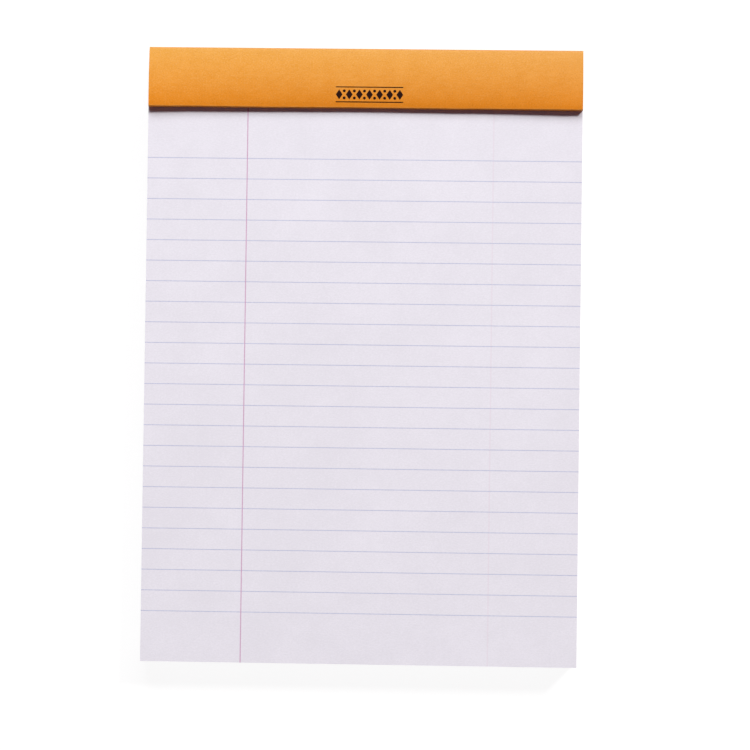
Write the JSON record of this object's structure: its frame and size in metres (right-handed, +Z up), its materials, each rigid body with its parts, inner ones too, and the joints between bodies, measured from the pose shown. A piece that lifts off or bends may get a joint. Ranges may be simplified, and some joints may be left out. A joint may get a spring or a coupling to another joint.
{
  "type": "legal pad",
  "caption": "Head-stapled ruled writing pad, A5, with a margin line and a card cover folded round behind it under a raised band at the head.",
  "frame": {"origin": "middle of the pad's outline, on the surface that the pad lies on", "axes": "+X across the sheets to the reader's right, +Y towards the stapled head, +Z up out of the top sheet"},
  "size_m": [0.1484, 0.21, 0.0119],
  "materials": {
    "ruled_paper": "smooth uncoated white paper with a cool tint",
    "greyboard": "matt recycled greyboard",
    "orange_card": "smooth dyed card with a low sheen",
    "staple_wire": "galvanised flat wire",
    "rule_ink": "printed blue-grey line",
    "margin_ink": "printed pink line",
    "dark_ink": "printed brown-black ornament"
  },
  "bodies": {
    "pad": {"page_block": "ruled_paper", "backing_board": "greyboard", "cover_binding": "orange_card", "staple_left": "staple_wire", "staple_right": "staple_wire", "ruled_lines": "rule_ink", "margin_line": "margin_ink", "band_ornament": "dark_ink"},
    "spine": {"cover_spine": "orange_card"},
    "cover": {"front_cover": "orange_card"}
  },
  "joints": [
    {"name": "head_score", "type": "hinge", "parent": "pad", "child": "spine", "pos_m": [0, 0.10483, 0.01038], "axis": [1, 0, 0], "range_deg": [0, 90]},
    {"name": "back_score", "type": "hinge", "parent": "spine", "child": "cover", "pos_m": [0, 0.10483, 0.00017], "axis": [1, 0, 0], "range_deg": [0, 90]}
  ]
}
